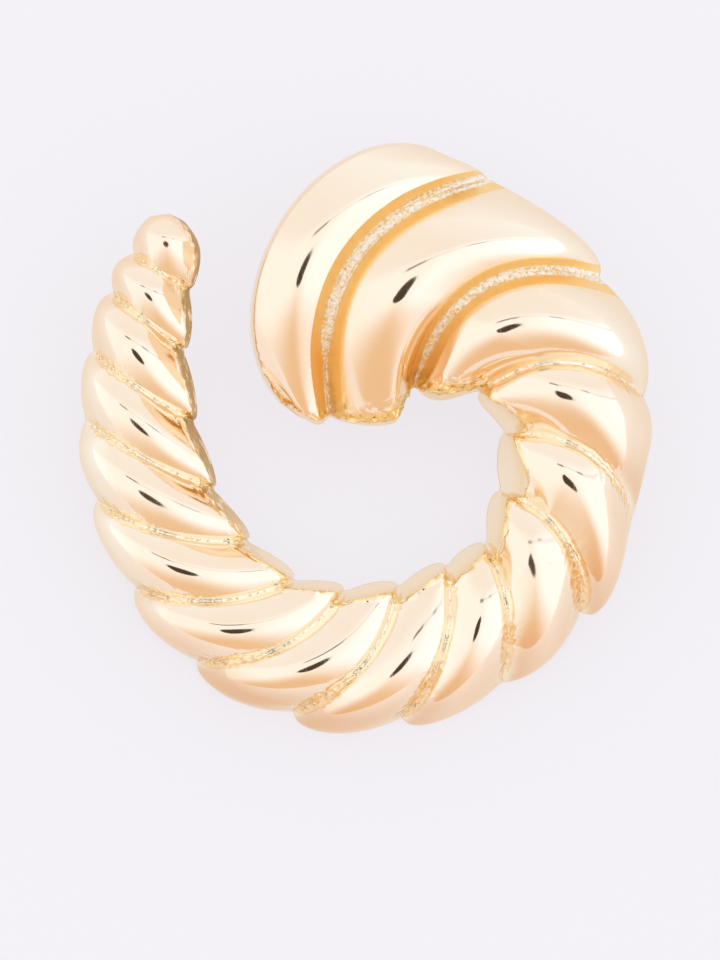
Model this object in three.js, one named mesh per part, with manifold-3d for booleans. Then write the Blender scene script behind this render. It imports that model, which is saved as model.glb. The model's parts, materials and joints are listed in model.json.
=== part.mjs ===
// A fluted horn stud earring, in millimetres, +Z up.
// The horn is a hollow-backed casting bent round into an open ring. Sixteen slanting flutes
// cross it, each pinched off from the next by a groove. A plain post stands on its back.
// The earring is drawn lying on its back in its own plane: x to the right of the face,
// y up the face, z out of the face, with the flat back rim at z = 0.
// At the end it is leaned so that it rests on the tip of its post and the rim's lower edge.

import * as THREE from 'three';
import { LoftGeometry } from 'three/addons/geometries/LoftGeometry.js';
import { mergeVertices } from 'three/addons/utils/BufferGeometryUtils.js';
import Module from 'manifold-3d';

// ---- driving dimensions ----

// The horn from its big end (0) to its tip (16). Whole stations are the grooves between
// flutes. Each row gives where the line across the arm starts on the ring's inner side and
// ends on its outer side, how far the line bows towards the big end, how round that bow is
// (1 a plain curve, under 1 fuller at its ends), how high the flutes rise over the rim,
// and how wide the groove is cut to each side of its middle.
const STATIONS = [
  { at: 0, inX: -3.4, inY: 2.2, outX: 5.9, outY: 19.5, bow: 7.3, fullness: 0.5, rise: 7.6, cut: 0.9 },
  { at: 1, inX: -1.3, inY: 2.2, outX: 9.1, outY: 17.7, bow: 4.3, fullness: 1, rise: 7.9, cut: 0.95 },
  { at: 1.6, inX: 2.5, inY: 2.5, outX: 13.6, outY: 14.2, bow: 3.8, fullness: 1, rise: 7.8, cut: 0.9 },
  { at: 2, inX: 4.2, inY: 4.2, outX: 16.3, outY: 11.3, bow: 3.3, fullness: 1, rise: 7.5, cut: 0.85 },
  { at: 3, inX: 8.6, inY: 3.9, outX: 19.2, outY: 3.5, bow: 2, fullness: 1, rise: 6.7, cut: 0.55 },
  { at: 4, inX: 10.2, inY: 1.1, outX: 18.5, outY: -4.3, bow: 1.8, fullness: 1, rise: 5.9, cut: 0.5 },
  { at: 5, inX: 9.9, inY: -2.7, outX: 15.1, outY: -10.6, bow: 1.7, fullness: 1, rise: 5.5, cut: 0.45 },
  { at: 6, inX: 8.9, inY: -6.3, outX: 9.9, outY: -15.2, bow: 0.9, fullness: 1, rise: 5.4, cut: 0.45 },
  { at: 7, inX: 6.3, inY: -7.7, outX: 3.4, outY: -17.5, bow: 1.3, fullness: 1, rise: 5.4, cut: 0.45 },
  { at: 8, inX: 3.1, inY: -9, outX: -3.7, outY: -17.1, bow: 1.5, fullness: 1, rise: 5.4, cut: 0.45 },
  { at: 9, inX: -0.5, inY: -9.3, outX: -10, outY: -13.8, bow: 1.5, fullness: 1, rise: 5.3, cut: 0.45 },
  { at: 10, inX: -3.9, inY: -8.5, outX: -14, outY: -9, bow: 1.1, fullness: 1, rise: 5.1, cut: 0.42 },
  { at: 11, inX: -6.9, inY: -5.9, outX: -16.5, outY: -3.3, bow: 0.9, fullness: 1, rise: 4.8, cut: 0.42 },
  { at: 12, inX: -9.1, inY: -2.4, outX: -17.3, outY: 2, bow: 0.4, fullness: 1, rise: 4.4, cut: 0.38 },
  { at: 13, inX: -10.4, inY: 2, outX: -16.8, outY: 6.5, bow: 0.3, fullness: 1, rise: 3.9, cut: 0.34 },
  { at: 14, inX: -11, inY: 6.7, outX: -15.5, outY: 10.3, bow: 0.1, fullness: 1, rise: 3.4, cut: 0.28 },
  { at: 15, inX: -10.6, inY: 10.6, outX: -14.2, outY: 12.9, bow: 0.1, fullness: 1, rise: 3, cut: 0.22 },
  { at: 15.5, inX: -10, inY: 13.2, outX: -13.6, outY: 14.5, bow: 0, fullness: 1, rise: 2.8, cut: 0.2 },
  { at: 15.85, inX: -10.8, inY: 14.9, outX: -13, outY: 15.3, bow: 0, fullness: 1, rise: 2.7, cut: 0.2 },
  { at: 16, inX: -11.9, inY: 15.5, outX: -11.9, outY: 15.5, bow: 0, fullness: 1, rise: 2.6, cut: 0.2 },
];
const FLUTES = 16;
const HEAD_SHOULDER = 0.6; // of a flute, over which the big end rounds up from the rim
const TIP_SHOULDER = 0.75; // the same at the tip
const TOE = 0.5; // how far a flute's inner end stands past the grooves beside it
const HEEL = 0.13; // of the rise, that its outer end stands past them

const WALL_FOOT = 0.1; // of the arm's width, taken by the steep wall on the ring's inner side
const WALL_TOP = 0.5; // of the rise, where that wall ends in a crisp edge
const DOME_INNER_POWER = 2.2;
const DOME_OUTER_POWER = 2.5;
const DOME_FALL = 0.42; // how far a flute's crown falls to the groove's edge, per half width
const WIDE_HALF = 2.6; // half width past which a flute's crown falls no further
const MOST_CUT = 0.2; // of a flute's width, that a groove takes at most
const GROOVE_STEEPNESS = 1.9; // depth of a groove's walls per millimetre of cut
const RELIEF_FULL = 0.6; // of the rise, above which the grooves have their full depth

const BACK_RIM = 1.3; // width of the flat rim round the open back
const SHELL = 1.1; // least thickness of metal over the hollow
const HOLLOW_FROM = 0.32; // station where the hollow begins, behind the big end
const HOLLOW_TO = 13.4; // station where it ends; the tip is solid
const HOLLOW_STEP = 0.25;
const CLEAR_OF_RIM = 1; // how far the cutter for the hollow stands out of the back

const POST = { x: 4.5, y: 14, root: 3, length: 10, radius: 0.45, tipRadius: 0.25, chamfer: 0.2 };
const NOTCH = { fromTip: 2.2, halfWidth: 0.3, radius: 0.33 };
const FOOT_PLATE = { radius: 1.7, thickness: 0.5 };
const BOSS_RADIUS = 2;
const BOSS_TOP = 7.5; // cut off where it meets the horn's face
const SOLDER_GAP = 0.3;
const HEELS = [-100, -95]; // degrees: which way the two corners of the rim lie that it rests on

const PALE_GOLD = { color: 0xf3d3a0, roughness: 0.14, metalness: 1 };
const BRUSHED_GOLD = { color: 0xe6c48c, roughness: 0.3, metalness: 1 };

// ---- solids ----

const wasm = await Module();
wasm.setup();

// A closed geometry becomes a manifold solid once equal vertices are shared and the
// slivers that collapse at a pole are left out.
function solidFrom(geometry) {
  const bare = new THREE.BufferGeometry();
  bare.setAttribute('position', geometry.attributes.position);
  bare.setIndex(geometry.index);
  const merged = mergeVertices(bare, 1e-4);
  const index = merged.index.array;
  const corners = [];
  for (let i = 0; i < index.length; i += 3) {
    const [a, b, c] = [index[i], index[i + 1], index[i + 2]];
    if (a !== b && b !== c && c !== a) corners.push(a, b, c);
  }
  const mesh = new wasm.Mesh({
    numProp: 3,
    vertProperties: new Float32Array(merged.attributes.position.array),
    triVerts: new Uint32Array(corners),
  });
  return new wasm.Manifold(mesh);
}

function geometryFrom(solid) {
  const mesh = solid.getMesh();
  const geometry = new THREE.BufferGeometry();
  geometry.setAttribute('position', new THREE.BufferAttribute(mesh.vertProperties, 3));
  geometry.setIndex(new THREE.BufferAttribute(mesh.triVerts, 1));
  geometry.computeVertexNormals();
  return geometry;
}

// ---- the horn's smooth form ----

const mix = (a, b, t) => a + (b - a) * t;

// A column of the table between its rows, as a smooth curve through them.
function measure(name, at) {
  const last = STATIONS.length - 2;
  let row = STATIONS.findIndex((station) => station.at > at) - 1;
  row = row < 0 ? last : Math.min(row, last);
  const slope = (i) => {
    const before = STATIONS[Math.max(i - 1, 0)];
    const after = STATIONS[Math.min(i + 1, last + 1)];
    return (after[name] - before[name]) / (after.at - before.at);
  };
  const [from, to] = [STATIONS[row], STATIONS[row + 1]];
  const span = to.at - from.at;
  const t = (at - from.at) / span;
  const rest = 1 - t;
  return from[name] * (1 + 2 * t) * rest * rest + to[name] * (3 - 2 * t) * t * t
    + slope(row) * span * t * rest * rest - slope(row + 1) * span * t * t * rest;
}

// The line across the arm at a station, seen from the front: across is 0 at its inner end
// and 1 at its outer end, and a little beyond that range where a flute swells.
function plan(at, across) {
  const start = new THREE.Vector2(measure('inX', at), measure('inY', at));
  const chord = new THREE.Vector2(measure('outX', at), measure('outY', at)).sub(start);
  const side = new THREE.Vector2(-chord.y, chord.x).normalize();
  const arc = 4 * across * (1 - across);
  const bulge = arc > 0 ? arc ** measure('fullness', at) : arc;
  return start.addScaledVector(chord, across).addScaledVector(side, measure('bow', at) * bulge);
}

function lineLength(at) {
  return plan(at, 0).distanceTo(plan(at, 1));
}

// The big end and the tip round down to the rim.
function shoulder(at) {
  const head = Math.min(at / HEAD_SHOULDER, 1);
  const tip = Math.min((FLUTES - at) / TIP_SHOULDER, 1);
  const round = (t) => (1 - (1 - t) ** DOME_OUTER_POWER) ** (1 / DOME_OUTER_POWER);
  return round(head) * round(tip);
}

// The section across the arm: a steep wall on the inner side, a crisp edge, then a dome
// that runs over the crest and down to the outer foot. lift is a share of the rise.
function innerDome(t) {
  return { across: mix(WALL_FOOT, 0.5, 1 - t), lift: mix(1, WALL_TOP, t ** DOME_INNER_POWER) };
}

function outerDome(t) {
  const angle = t * Math.PI / 2;
  const run = Math.sin(angle) ** (2 / DOME_OUTER_POWER);
  const lift = t < 1 ? Math.cos(angle) ** (2 / DOME_OUTER_POWER) : 0;
  return { across: mix(0.5, 1, run), lift };
}

const ARCH = [
  { across: 0, lift: 0 },
  { across: WALL_FOOT / 2, lift: WALL_TOP / 2 },
  ...[1, 0.78, 0.56, 0.34, 0.12].map(innerDome),
  ...[0.1, 0.3, 0.48, 0.64, 0.78, 0.9, 1].map(outerDome),
];

// ---- the flutes ----

// Width of a flute square to its grooves, at a share of the way across the arm.
function fluteWidth(flute, across) {
  const along = plan(flute + 0.5, across + 0.01).sub(plan(flute + 0.5, across - 0.01)).normalize();
  return Math.abs(plan(flute + 1, across).sub(plan(flute, across)).cross(along));
}

// The groove narrows with its flutes where they crowd together at the ring's inner side.
function cutShare(flute, station, across) {
  return Math.min(measure('cut', station) / fluteWidth(flute, across), MOST_CUT);
}

function grooveDepth(station, across) {
  const sides = [station - 1, station].map((flute) => {
    const width = fluteWidth(Math.min(Math.max(flute, 0), FLUTES - 1), across);
    return Math.min(width / 2, WIDE_HALF);
  });
  const crown = DOME_FALL * (sides[0] + sides[1]) / 2 - DOME_FALL * measure('cut', station);
  return crown + GROOVE_STEEPNESS * measure('cut', station);
}

// Rows of a flute: share is the place between its two groove edges, or null on the groove.
const CROWN_ROWS = [-1, -0.7, -0.35, 0, 0.35, 0.7, 1];
const HEAD_ROWS = [0, 0.03, 0.1, 0.2, 0.32, 0.45, 0.58, 0.72, 0.86, 1];
const TIP_ROWS = [0, 0.15, 0.3, 0.45, 0.6, 0.73, 0.84, 0.93, 1];

function fluteRows(flute) {
  if (flute === 0) return HEAD_ROWS.map((share) => ({ flute, share, kind: 'head' }));
  const groove = { flute, kind: 'groove' };
  if (flute === FLUTES - 1) return [groove, ...TIP_ROWS.map((share) => ({ flute, share, kind: 'tip' }))];
  return [groove, ...CROWN_ROWS.map((share) => ({ flute, share, kind: 'crown' }))];
}

// Where a row crosses the arm, and how far it lies under the flutes' crests.
function placeRow(row, across) {
  const { flute, share, kind } = row;
  if (kind === 'groove') return { at: flute, depth: grooveDepth(flute, across), swell: 0 };
  const firstCut = kind === 'head' ? 0 : cutShare(flute, flute, across);
  const lastCut = kind === 'tip' ? 0 : cutShare(flute, flute + 1, across);
  const middle = (firstCut + 1 - lastCut) / 2;
  const half = (1 - lastCut - firstCut) / 2;
  const fall = DOME_FALL * Math.min(fluteWidth(flute, across) * half, WIDE_HALF);
  if (kind === 'head') {
    const past = Math.max(share - 0.5, 0) * 2;
    return { at: flute + share * (1 - lastCut), depth: fall * past ** 2, swell: 0 };
  }
  if (kind === 'tip') {
    const past = Math.max(0.5 - share, 0) * 2;
    return { at: flute + mix(firstCut, 1, share), depth: fall * past ** 2, swell: 0 };
  }
  const place = middle + half * share;
  return { at: flute + place, depth: fall * share ** 2, swell: 1 - Math.abs(2 * place - 1) ** 3 };
}

// A point on the smooth form that runs over the flutes' crests.
function crest(at, across, lift, swell) {
  const rise = measure('rise', at);
  const share = at < FLUTES ? swell / lineLength(at) : 0;
  const { x, y } = plan(at, mix(-TOE * share, 1 + HEEL * rise * share, across));
  return new THREE.Vector3(x, y, rise * shoulder(at) * lift);
}

// Relief is full on the dome and fades out down the walls.
function reliefShare(lift) {
  return Math.sin(Math.min(lift / RELIEF_FULL, 1) * Math.PI / 2);
}

// A point let down square to the crest line that runs across the arm there.
function sunk(at, step, swell, depth) {
  const { across, lift } = ARCH[step];
  const point = crest(at, across, lift, swell);
  if (depth < 1e-6) return point;
  const before = ARCH[Math.max(step - 1, 0)];
  const after = ARCH[Math.min(step + 1, ARCH.length - 1)];
  const run = crest(at, after.across, after.lift, swell).sub(crest(at, before.across, before.lift, swell));
  const level = Math.hypot(run.x, run.y);
  const down = new THREE.Vector3(run.x * run.z / level, run.y * run.z / level, -level).normalize();
  return point.addScaledVector(down, depth);
}

function hornPoint(row, step) {
  const { across, lift } = ARCH[step];
  const { at, depth, swell } = placeRow(row, across);
  return sunk(at, step, swell, depth * reliefShare(lift) * shoulder(at));
}

// Each section is a ring: along the flat underside from the inner foot to the outer one,
// and back over the arch.
function hornSection(row) {
  const over = ARCH.map((_, i) => hornPoint(row, i));
  const under = over.slice(1, -1).map((point) => new THREE.Vector3(point.x, point.y, 0));
  return [over[0], ...under, ...over.slice(1).reverse()];
}

function fullHorn() {
  const rows = [];
  for (let flute = 0; flute < FLUTES; flute += 1) rows.push(...fluteRows(flute));
  return solidFrom(new LoftGeometry(rows.map(hornSection)));
}

// ---- the hollow back ----

// The hollow follows the crests and dips under the grooves in soft waves, so that the metal
// stays about as thick all over.
function hollowOver(at) {
  const place = at - Math.floor(at);
  const groove = Math.min(Math.max(Math.round(at), 1), FLUTES - 1);
  return ARCH.map(({ across, lift }, i) => {
    const wave = at < 0.5 ? 0 : grooveDepth(groove, across) * (2 * place - 1) ** 2;
    const point = sunk(at, i, 0, mix(BACK_RIM, SHELL, lift) + wave * reliefShare(lift));
    if (lift === 0) point.z = -CLEAR_OF_RIM;
    return point;
  });
}

function hollow() {
  const stations = [];
  for (let at = HOLLOW_FROM; at < HOLLOW_TO; at += HOLLOW_STEP) stations.push(at);
  const sections = stations.map((at) => {
    const over = hollowOver(at);
    const under = over.slice(1, -1).map((point) => new THREE.Vector3(point.x, point.y, -CLEAR_OF_RIM));
    return { over, under };
  });
  const ring = ({ over, under }) => [over[0], ...under, ...over.slice(1).reverse()];
  const flat = ({ over, under }) => ring({ over: [over[0], ...under, over.at(-1)], under });
  return solidFrom(new LoftGeometry([flat(sections[0]), ...sections.map(ring), flat(sections.at(-1))]));
}

// ---- the post ----

function turned(profile, sides) {
  const outline = profile.map(([radius, height]) => new THREE.Vector2(radius, height));
  return new THREE.LatheGeometry(outline, sides).rotateX(Math.PI / 2);
}

// A round boss stands on the roof of the hollow and ends well inside the rim.
function boss(horn) {
  const low = POST.root + FOOT_PLATE.thickness + SOLDER_GAP;
  const pillar = turned([[0, low], [BOSS_RADIUS, low], [BOSS_RADIUS, BOSS_TOP], [0, BOSS_TOP]], 24);
  return solidFrom(pillar.translate(POST.x, POST.y, 0)).intersect(horn);
}

// The post is a wire with a foot plate, a ring for the clutch to catch in and a blunt tip.
function postGeometry() {
  const { x, y, root, length, radius, tipRadius, chamfer } = POST;
  const notchTop = -length + NOTCH.fromTip;
  const profile = [
    [0, -length],
    [tipRadius, -length],
    [radius, -length + chamfer],
    [radius, notchTop - NOTCH.halfWidth],
    [NOTCH.radius, notchTop],
    [radius, notchTop + NOTCH.halfWidth],
    [radius, 0],
    [FOOT_PLATE.radius, 0],
    [FOOT_PLATE.radius, FOOT_PLATE.thickness],
    [0, FOOT_PLATE.thickness],
  ];
  return turned(profile, 20).translate(x, y, root);
}

// ---- the earring at rest ----

function namedMesh(name, geometry, finish) {
  const mesh = new THREE.Mesh(geometry, new THREE.MeshStandardMaterial(finish));
  mesh.name = name;
  return mesh;
}

const horn = fullHorn();
const casting = horn.subtract(hollow()).add(boss(horn));
const shell = namedMesh('horn_shell', geometryFrom(casting), PALE_GOLD);
const post = namedMesh('ear_post', geometryFrom(solidFrom(postGeometry())), BRUSHED_GOLD);

// The corner of the rim that lies farthest towards one direction.
function rimCorner(geometry, degrees) {
  const angle = THREE.MathUtils.degToRad(degrees);
  const towards = new THREE.Vector3(Math.cos(angle), Math.sin(angle), 0);
  const places = geometry.getAttribute('position');
  const corner = new THREE.Vector3();
  const point = new THREE.Vector3();
  let farthest = -Infinity;
  for (let i = 0; i < places.count; i += 1) {
    point.fromBufferAttribute(places, i);
    const far = point.dot(towards);
    if (Math.abs(point.z) < 1e-6 && far > farthest) {
      farthest = far;
      corner.copy(point);
    }
  }
  return corner;
}

// Laid face up, the earring tips back until the post's tip and two corners of the rim touch
// the table. It leans about the line through those corners, and the lean follows from the
// tip's drop below the rim and its distance from that line.
const [heel, otherHeel] = HEELS.map((degrees) => rimCorner(shell.geometry, degrees));
const line = otherHeel.clone().sub(heel).normalize();
const toPost = new THREE.Vector3(POST.x, POST.y, 0).sub(heel);
const reach = toPost.cross(line).length() - POST.tipRadius;
const drop = POST.length - POST.root;
const earring = new THREE.Group();
earring.add(shell, post);
earring.rotateOnAxis(line, Math.atan2(drop, reach));

// The origin is on the table, under the middle of the resting earring.
const box = new THREE.Box3().setFromObject(earring, true);
const middle = box.getCenter(new THREE.Vector3());
earring.position.set(-middle.x, -middle.y, -box.min.z);

const object = new THREE.Group();
object.add(earring);
export default object;
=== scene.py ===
# %% [markdown]
# # A fluted horn stud earring
# One earring, cast in metal and plated pale gold: a horn bent round into an open ring, crossed by
# sixteen slanting flutes that narrow from a big rounded end to a small tip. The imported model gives
# the size, the place and the plain shape. This lesson makes the fine surface that is seen: the
# polished flutes, the rough floors of the grooves between them and the hand-cut edges.

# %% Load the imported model
import json
import math

import bpy
import numpy as np
from mathutils import Matrix, Vector


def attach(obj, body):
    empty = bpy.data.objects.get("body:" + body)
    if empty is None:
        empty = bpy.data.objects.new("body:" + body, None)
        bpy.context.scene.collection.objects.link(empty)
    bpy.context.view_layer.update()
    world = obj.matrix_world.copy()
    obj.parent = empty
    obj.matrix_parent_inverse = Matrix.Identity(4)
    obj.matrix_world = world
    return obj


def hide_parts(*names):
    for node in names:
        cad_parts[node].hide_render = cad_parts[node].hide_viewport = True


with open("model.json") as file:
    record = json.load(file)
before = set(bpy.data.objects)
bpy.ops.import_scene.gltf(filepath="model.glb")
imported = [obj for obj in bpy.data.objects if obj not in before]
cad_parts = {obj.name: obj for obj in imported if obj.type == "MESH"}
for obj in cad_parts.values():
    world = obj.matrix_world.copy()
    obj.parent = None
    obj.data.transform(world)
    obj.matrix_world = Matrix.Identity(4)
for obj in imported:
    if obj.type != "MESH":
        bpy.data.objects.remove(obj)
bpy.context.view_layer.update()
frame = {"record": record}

# %% [markdown]
# ## Where the earring lies
# It lies face up, leaning back on its post. Modelling a leaning thing is awkward, so every piece is
# made flat, in the earring's own plane: x to the right of the face, y up the face, z out of the
# face and zero on the flat back rim. The back rim's mount in the record tells how that plane leans,
# and each finished mesh is turned into place at the end.

# %% The earring's own plane
MM = 0.001
RIM_MARK = Vector((-13.2, 9.5, 0)) * MM  # the rim mount's point, in the earring's own plane

mounts = {mount["name"]: mount for mount in frame["record"]["mounts"]}
face_out = -Vector(mounts["back_rim"]["axis"]).normalized()
lean = Vector((0, 0, 1)).rotation_difference(face_out)
turn = lean.to_matrix().to_4x4()
shift = Vector(mounts["back_rim"]["pos_m"]) - turn @ RIM_MARK
LAY = Matrix.Translation(shift) @ turn
face_right, face_up = turn @ Vector((1, 0, 0)), turn @ Vector((0, 1, 0))
print("the face leans", round(math.degrees(lean.angle), 2), "degrees")


def lay_down(piece):
    """Turns a piece's mesh from the earring's own plane to where it rests."""
    piece.data.transform(LAY)
    piece.data.update()


def deselect():
    if bpy.context.object and bpy.context.object.mode != "OBJECT":
        bpy.ops.object.mode_set(mode="OBJECT")
    bpy.ops.object.select_all(action="DESELECT")


def pick(piece):
    deselect()
    piece.select_set(True)
    bpy.context.view_layer.objects.active = piece


def apply_modifiers(piece):
    pick(piece)
    for name in [modifier.name for modifier in piece.modifiers]:
        bpy.ops.object.modifier_apply(modifier=name)


# %% [markdown]
# ## The camera
# The earring is looked at square to its face, from far enough away that its near flutes don't
# swell. A long lens on an upright frame takes in a strip of the face about 63 mm high.

# %% Place the camera
VIEW_HEIGHT = 62.7 * MM
VIEW_CENTRE = Vector((0.65, -1.96, 2.5)) * MM  # in the earring's own plane
CAMERA_DISTANCE = 0.8
SENSOR = 24  # mm high
NEAREST = 10 * MM

camera_data = bpy.data.cameras.new("camera")
camera_data.sensor_fit = "VERTICAL"
camera_data.sensor_height = SENSOR
camera_data.lens = CAMERA_DISTANCE * SENSOR / VIEW_HEIGHT
camera_data.clip_start = NEAREST
camera = bpy.data.objects.new("camera", camera_data)
bpy.context.scene.collection.objects.link(camera)
camera.matrix_world = LAY @ Matrix.Translation(VIEW_CENTRE + Vector((0, 0, CAMERA_DISTANCE)))
bpy.context.scene.camera = camera
print("lens, mm:", round(camera_data.lens))

# %% [markdown]
# ## The form of the horn
# The horn is easiest to think of as a road. A station is a place along it, from 0 at the big end
# to 16 at the tip, and each whole station is the groove between two flutes. A row of this table
# gives the line that crosses the horn there: where it starts on the ring's inner side, where it
# ends on the outer side, how far it bows, how high the flutes rise, how wide the groove is cut,
# how wide its rough floor is, how much of the width the plain inner wall takes, how much of the rise
# it climbs, where the crest lies over the width, how far a flute's inner and outer ends stand out,
# and how much painted light (above zero) or painted shade (below) lies on the outer flank: paler
# where it reflects the bright table, rosier where it reflects the table's shadow. A smooth curve
# runs through each column, so sixteen flutes follow from few rows.

# %% The table of stations
COLUMNS = ("at", "in_x", "in_y", "out_x", "out_y", "bow", "fullness", "rise", "cut", "floor",
           "wall", "edge", "crest", "toe", "heel", "flank_light")
STATIONS = np.array([
    (0, -3.4, 2.2, 5.9, 19.5, 7.15, 0.5, 7.6, 0.95, 0.34, 0.01, 0.62, 0.395, 0.4, 0.25, 0.6),
    (1, -1.3, 2.2, 9.1, 17.7, 4.3, 1, 7.9, 1, 0.34, 0.01, 0.5, 0.39, 0.5, 0.3, 0.7),
    (1.6, 2.8, 2.78, 13.6, 14.2, 4.1, 1, 7.8, 0.95, 0.32, 0.01, 0.48, 0.395, 0.7, 0.85, 0.75),
    (2, 4.2, 4.2, 16.3, 11.3, 3.3, 1, 7.5, 0.85, 0.28, 0.012, 0.5, 0.365, 0.75, 1.2, 0.8),
    (3, 8.6, 3.9, 19.2, 3.5, 2, 1, 6.7, 0.34, 0.09, 0.045, 0.68, 0.39, 0.95, 0.9, 0.6),
    (3.5, 9.69, 2.72, 19.24, -0.49, 1.82, 1, 6.28, 0.29, 0.063, 0.078, 0.73, 0.401, 0.68, 0.3, 0.3),
    (4, 10.2, 1.1, 18.5, -4.3, 1.8, 1, 5.9, 0.3, 0.06, 0.11, 0.76, 0.4, 0.55, 0.2, 0.1),
    (4.5, 10.21, -0.75, 17.08, -7.65, 1.79, 1, 5.66, 0.29, 0.056, 0.125, 0.78, 0.361, 0.56, 1.25, 0),
    (5, 9.9, -2.7, 15.1, -10.6, 1.7, 1, 5.5, 0.29, 0.055, 0.13, 0.78, 0.33, 0.6, 1.4, -0.1),
    (6, 8.9, -6.3, 9.9, -15.2, 0.9, 1, 5.4, 0.29, 0.055, 0.11, 0.78, 0.4, 0.85, 0.8, -0.1),
    (7, 6.3, -7.7, 3.4, -17.5, 1.3, 1, 5.4, 0.29, 0.055, 0.09, 0.78, 0.47, 0.7, 1.4, -0.4),
    (8, 3.1, -9, -3.7, -17.1, 1.5, 1, 5.4, 0.29, 0.055, 0.08, 0.78, 0.52, 0.65, 1.4, -1),
    (9, -0.5, -9.3, -10, -13.8, 1.5, 1, 5.3, 0.29, 0.055, 0.07, 0.77, 0.545, 0.75, 1.2, -0.6),
    (10, -3.9, -8.5, -14, -9, 1.1, 1, 5.1, 0.28, 0.055, 0.07, 0.76, 0.55, 0.9, 1.1, 0.6),
    (11, -6.9, -5.9, -16.5, -3.3, 0.9, 1, 4.8, 0.27, 0.055, 0.07, 0.75, 0.535, 0.9, 1.1, 0.9),
    (12, -9.1, -2.4, -17.3, 2, 0.4, 1, 4.4, 0.25, 0.05, 0.08, 0.74, 0.53, 0.9, 0.55, 0.8),
    (13, -10.4, 2, -16.8, 6.5, 0.3, 1, 3.9, 0.23, 0.045, 0.09, 0.72, 0.54, 0.85, 0.65, 0.4),
    (14, -11, 6.7, -15.5, 10.3, 0.1, 1, 3.4, 0.2, 0.04, 0.1, 0.7, 0.54, 0.85, 0.8, 0.1),
    (15, -10.6, 10.6, -14.2, 12.9, 0.1, 1, 3, 0.15, 0.035, 0.1, 0.68, 0.53, 0.65, 0.55, 0.1),
    (15.5, -10, 13.2, -13.6, 14.5, 0, 1, 2.8, 0.15, 0.035, 0.1, 0.68, 0.53, 0.35, 0.45, 0.1),
    (15.85, -10.8, 14.9, -13, 15.3, 0, 1, 2.7, 0.15, 0.035, 0.1, 0.68, 0.53, 0.1, 0.4, 0.1),
    (16, -11.9, 15.5, -11.9, 15.5, 0, 1, 2.6, 0.15, 0.035, 0.1, 0.68, 0.53, 0, 0.35, 0.1),
])
FLUTES = 16


def measure(name, at):
    """A column of the table at any stations, as a smooth curve through its rows."""
    rows, values = STATIONS[:, 0], STATIONS[:, COLUMNS.index(name)]
    before, after = np.r_[0, 0:len(rows) - 1], np.r_[1:len(rows), len(rows) - 1]
    slope = (values[after] - values[before]) / (rows[after] - rows[before])
    at = np.asarray(at, float)
    row = np.clip(np.searchsorted(rows, at, side="right") - 1, 0, len(rows) - 2)
    span = rows[row + 1] - rows[row]
    t = (at - rows[row]) / span
    rest = 1 - t
    return (values[row] * (1 + 2 * t) * rest**2 + values[row + 1] * (3 - 2 * t) * t**2
            + slope[row] * span * t * rest**2 - slope[row + 1] * span * t**2 * rest)


print("rise at the flutes, mm:", measure("rise", np.arange(0.5, FLUTES)).round(2))

# %% [markdown]
# ## Lines across the horn
# Seen from the front, each line across the horn is a shallow bow. The height falls to the rim at
# both ends of the horn: the big end climbs most of its rise at once, like a cut face, and rounds up
# the rest, and the tip is round like a thimble. A rule on the station does this for the whole horn,
# where caps made on their own would each leave a seam.

# %% Lines across the horn
HEAD_WALL, HEAD_WALL_RUN = 0.78, 0.07  # the big end climbs this share of its rise at once
HEAD_SHOULDER = 0.65  # of a flute, over which it rounds up the rest of the way
TIP_SHOULDER, TIP_POWER = 0.75, 2.5  # of a flute, and how square the tip's round is


def mix(a, b, t):
    return a + (b - a) * t


def plan(at, across):
    """The line across the horn, seen from the front, in mm."""
    start = np.stack([measure("in_x", at), measure("in_y", at)], -1)
    chord = np.stack([measure("out_x", at), measure("out_y", at)], -1) - start
    side = np.stack([-chord[..., 1], chord[..., 0]], -1)
    side = side / np.maximum(np.linalg.norm(side, axis=-1, keepdims=True), 1e-9)
    arc = 4 * across * (1 - across)
    bulge = np.where(arc > 0, np.maximum(arc, 1e-12) ** measure("fullness", at), arc)
    return start + chord * across[..., None] + side * (measure("bow", at) * bulge)[..., None]


def line_length(at):
    return np.linalg.norm(plan(at, np.zeros_like(at)) - plan(at, np.ones_like(at)), axis=-1)


def rounded(t, power):
    """A quarter of a round from 0 to 1, squarer with a higher power."""
    return (1 - (1 - np.clip(t, 0, 1)) ** power) ** (1 / power)


def shoulder(at):
    """The share of the rise that is left near the horn's two ends."""
    slope = 1 - (1 - np.clip(at / HEAD_SHOULDER, 0, 1)) ** 2
    head = HEAD_WALL * rounded(at / HEAD_WALL_RUN, 2) + (1 - HEAD_WALL) * slope
    return head * rounded((FLUTES - at) / TIP_SHOULDER, TIP_POWER)


print("lines across the flutes, mm:", line_length(np.arange(0.5, FLUTES)).round(1))

# %% [markdown]
# ## The arch
# Across the horn runs an arch: a steep plain wall on the ring's inner side, a crisp edge, then a
# dome over the crest and down to the outer foot. A flute swells a little at both ends, so the
# outline of the earring is scalloped. Past the first flutes the inner ends are cut aslant, like the
# teeth of a saw. So a measure there runs from one value where a flute starts to another where it
# ends, and steps back in the groove.

# %% The arch
INNER_POWER, OUTER_POWER = 2.0, 2.2  # how full the dome is on its inner and outer side
SLANT = 0.35  # of a toe's reach is aslant, the rest is round
SLANT_FROM, SLANT_FULL = 2.5, 3.3  # stations past which the flutes' inner ends are cut aslant
STEP_BACK = 0.07  # of a flute, over which the slant steps back in a groove
ARM_FROM, ARM_FULL = 10.5, 12.5  # stations between which the ring turns into the narrow arm
WALL_START, WALL_END = (0.65, 0.3), (1.3, 1.45)  # share of the wall at a flute's ends: ring, arm


def slanting(at):
    return np.clip((at - SLANT_FROM) / (SLANT_FULL - SLANT_FROM), 0, 1)


def up_the_arm(at):
    return np.clip((at - ARM_FROM) / (ARM_FULL - ARM_FROM), 0, 1)


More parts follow.
